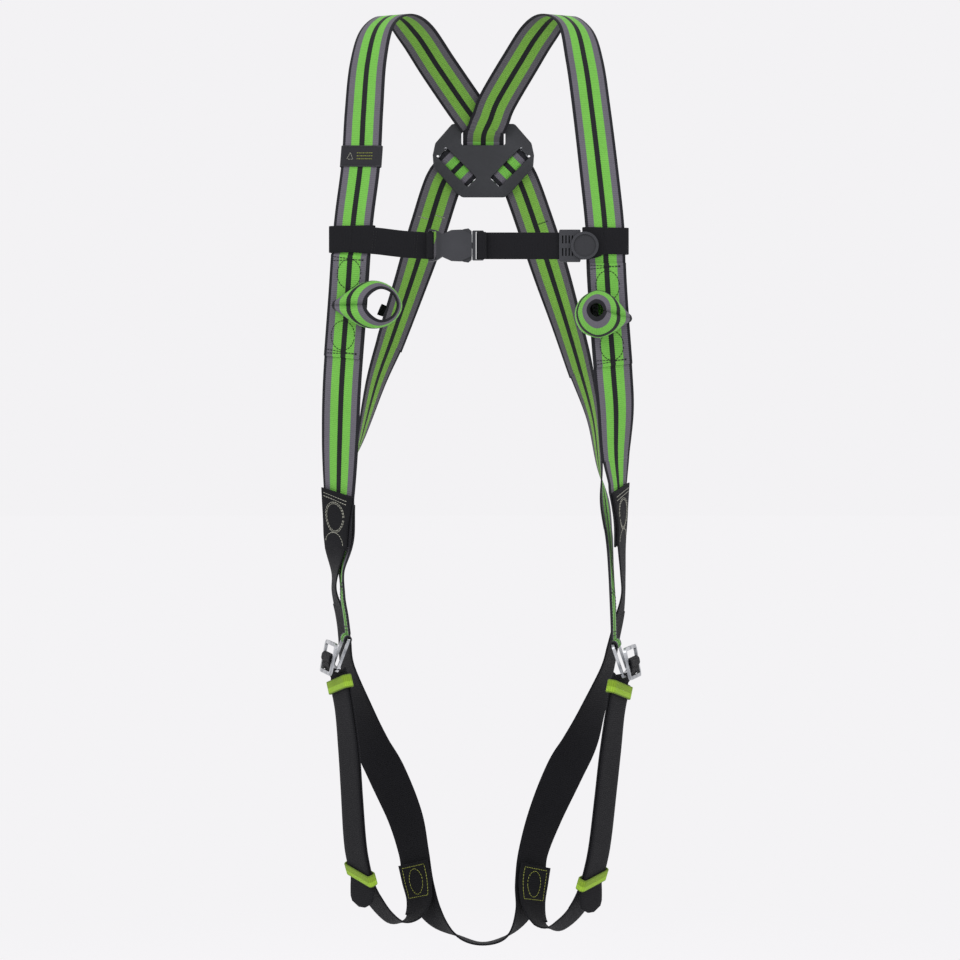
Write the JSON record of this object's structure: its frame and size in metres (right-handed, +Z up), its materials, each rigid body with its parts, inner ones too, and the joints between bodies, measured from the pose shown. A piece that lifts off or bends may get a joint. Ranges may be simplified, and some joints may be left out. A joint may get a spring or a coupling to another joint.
{
  "type": "full body harness",
  "caption": "Full body fall-arrest harness in two-colour webbing with dorsal plate and D-ring, chest buckle, chest loops and leg buckles.",
  "frame": {"origin": "midway between the undersides of the two shoulder straps, where the harness hangs on a torso form", "axes": "+X towards the wearer's left, +Y towards the wearer's back, +Z up"},
  "size_m": [0.367, 0.3087, 1.0755],
  "materials": {
    "striped_webbing": "woven, striped green, grey and black",
    "black_webbing": "woven",
    "black_plastic": "matte moulded",
    "steel": "satin",
    "lime_elastic": "matte"
  },
  "bodies": {
    "harness": {"main_strap_left": "striped_webbing", "main_strap_right": "striped_webbing", "chest_loop_left": "striped_webbing", "chest_loop_right": "striped_webbing", "sub_pelvic_strap": "black_webbing", "leg_strap_left": "black_webbing", "leg_strap_right": "black_webbing", "leg_strap_tail_left": "black_webbing", "leg_strap_tail_right": "black_webbing", "leg_strap_head_left": "black_webbing", "leg_strap_head_right": "black_webbing", "chest_strap_left": "black_webbing", "chest_strap_right": "black_webbing", "label_sleeve": "black_webbing", "loop_retainer_left": "black_webbing", "loop_retainer_right": "black_webbing", "dorsal_plate": "black_plastic", "chest_buckle_housing": "black_plastic"},
    "d_ring": {"dorsal_d_ring": "steel"},
    "chest_tongue": {"chest_buckle_tongue": "black_plastic"},
    "chest_arm_upper": {"chest_buckle_arm_upper": "black_plastic"},
    "chest_arm_lower": {"chest_buckle_arm_lower": "black_plastic"},
    "chest_adjuster": {"chest_adjuster_plate": "black_plastic", "chest_adjuster_disc": "black_plastic"},
    "leg_frame_left": {"leg_buckle_frame_left": "steel"},
    "leg_frame_right": {"leg_buckle_frame_right": "steel"},
    "leg_plate_left": {"leg_buckle_plate_left": "steel"},
    "leg_plate_right": {"leg_buckle_plate_right": "steel"},
    "keeper_upper_left": {"keeper_upper_left": "lime_elastic"},
    "keeper_upper_right": {"keeper_upper_right": "lime_elastic"},
    "keeper_lower_left": {"keeper_lower_left": "lime_elastic"},
    "keeper_lower_right": {"keeper_lower_right": "lime_elastic"}
  },
  "joints": [
    {"name": "d_ring_swing", "type": "hinge", "parent": "harness", "child": "d_ring", "pos_m": [0.004, 0.1096, -0.1435], "axis": [1, 0, 0], "range_deg": [0, 125]},
    {"name": "chest_tongue_slide", "type": "slide", "parent": "harness", "child": "chest_tongue", "axis": [1, 0, 0], "range_m": [0, 0.032], "deforming": ["chest_strap_right"]},
    {"name": "chest_arm_upper_press", "type": "hinge", "parent": "chest_tongue", "child": "chest_arm_upper", "pos_m": [-0.0095, -0.127, -0.2595], "axis": [0, 1, 0], "range_deg": [-7, 0], "stiffness_Nm_per_rad": 0.4},
    {"name": "chest_arm_lower_press", "type": "hinge", "parent": "chest_tongue", "child": "chest_arm_lower", "pos_m": [-0.0095, -0.127, -0.2845], "axis": [0, 1, 0], "range_deg": [0, 7], "stiffness_Nm_per_rad": 0.4},
    {"name": "chest_adjuster_slide", "type": "slide", "parent": "harness", "child": "chest_adjuster", "axis": [1, 0, 0], "range_m": [-0.03, 0]},
    {"name": "leg_frame_left_tilt", "type": "hinge", "parent": "harness", "child": "leg_frame_left", "pos_m": [-0.15219, -0.061, -0.71441], "axis": [0.1311, -0.9901, -0.0498], "range_deg": [-5, 5], "deforming": ["leg_strap_head_left"]},
    {"name": "leg_frame_right_tilt", "type": "hinge", "parent": "harness", "child": "leg_frame_right", "pos_m": [0.15399, -0.061, -0.72069], "axis": [0.1344, 0.9899, 0.0457], "range_deg": [-5, 5], "deforming": ["leg_strap_head_right"]},
    {"name": "leg_plate_left_tilt", "type": "hinge", "parent": "leg_frame_left", "child": "leg_plate_left", "pos_m": [-0.1716, -0.069, -0.7354], "axis": [0.2403, -0.9695, -0.0481], "range_deg": [-8, 8]},
    {"name": "leg_plate_right_tilt", "type": "hinge", "parent": "leg_frame_right", "child": "leg_plate_right", "pos_m": [0.1728, -0.069, -0.7405], "axis": [0.251, 0.9669, 0.0452], "range_deg": [-8, 8]},
    {"name": "keeper_upper_left_slide", "type": "slide", "parent": "harness", "child": "keeper_upper_left", "axis": [-0.2111, 0.1324, 0.9685], "range_m": [-0.004, 0.001]},
    {"name": "keeper_upper_right_slide", "type": "slide", "parent": "harness", "child": "keeper_upper_right", "axis": [0.1988, 0.1368, 0.9704], "range_m": [-0.004, 0.001]},
    {"name": "keeper_lower_left_slide", "type": "slide", "parent": "harness", "child": "keeper_lower_left", "axis": [-0.245, -0.4459, 0.8609], "range_m": [-0.004, 0.004]},
    {"name": "keeper_lower_right_slide", "type": "slide", "parent": "harness", "child": "keeper_lower_right", "axis": [0.2704, -0.3987, 0.8763], "range_m": [-0.004, 0.004]}
  ]
}
